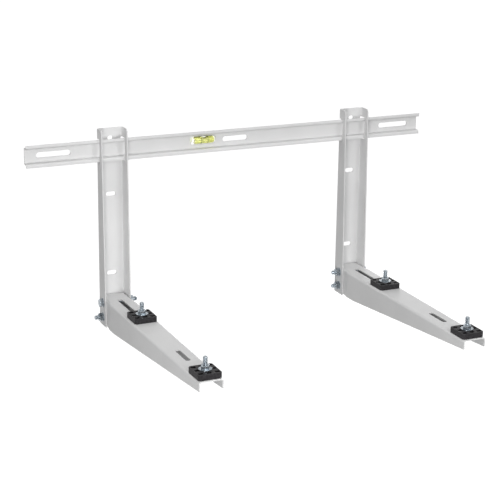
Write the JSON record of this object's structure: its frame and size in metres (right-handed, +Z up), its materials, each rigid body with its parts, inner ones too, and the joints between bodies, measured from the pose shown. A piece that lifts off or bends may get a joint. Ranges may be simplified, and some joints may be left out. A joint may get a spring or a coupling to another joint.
{
  "type": "air conditioner outdoor unit bracket",
  "caption": "Wall bracket for an air conditioner's outdoor unit: a crossbar with a spirit level carries sliding uprights with tapered arms and bolted rubber pads.",
  "frame": {"origin": "on the wall, on the centre line of the crossbar's slots, at the middle of its length", "axes": "+X along the crossbar, +Y into the wall, +Z up"},
  "size_m": [0.78, 0.46, 0.359],
  "materials": {
    "powder_coat": "satin",
    "zinc_steel": "satin",
    "pad_rubber": "matte",
    "vial_plastic": "gloss",
    "vial_liquid": "gloss"
  },
  "bodies": {
    "wall_bar": {"crossbar": "powder_coat", "level_vial": "vial_plastic", "level_liquid": "vial_liquid"},
    "left_bracket": {"left_upright": "powder_coat", "left_arm": "powder_coat", "left_rear_pad": "pad_rubber", "left_front_pad": "pad_rubber", "left_pad_bolts": "zinc_steel", "left_pad_nuts": "zinc_steel", "left_top_washers": "zinc_steel", "left_under_washers": "zinc_steel", "left_side_bolts": "zinc_steel", "left_side_nuts": "zinc_steel", "left_side_washers": "zinc_steel"},
    "right_bracket": {"right_upright": "powder_coat", "right_arm": "powder_coat", "right_rear_pad": "pad_rubber", "right_front_pad": "pad_rubber", "right_pad_bolts": "zinc_steel", "right_pad_nuts": "zinc_steel", "right_top_washers": "zinc_steel", "right_under_washers": "zinc_steel", "right_side_bolts": "zinc_steel", "right_side_nuts": "zinc_steel", "right_side_washers": "zinc_steel"}
  },
  "joints": [
    {"name": "left_bracket_slide", "type": "slide", "parent": "wall_bar", "child": "left_bracket", "axis": [1, 0, 0], "range_m": [-0.132, 0.126]},
    {"name": "right_bracket_slide", "type": "slide", "parent": "wall_bar", "child": "right_bracket", "axis": [1, 0, 0], "range_m": [-0.255, 0.117]}
  ]
}
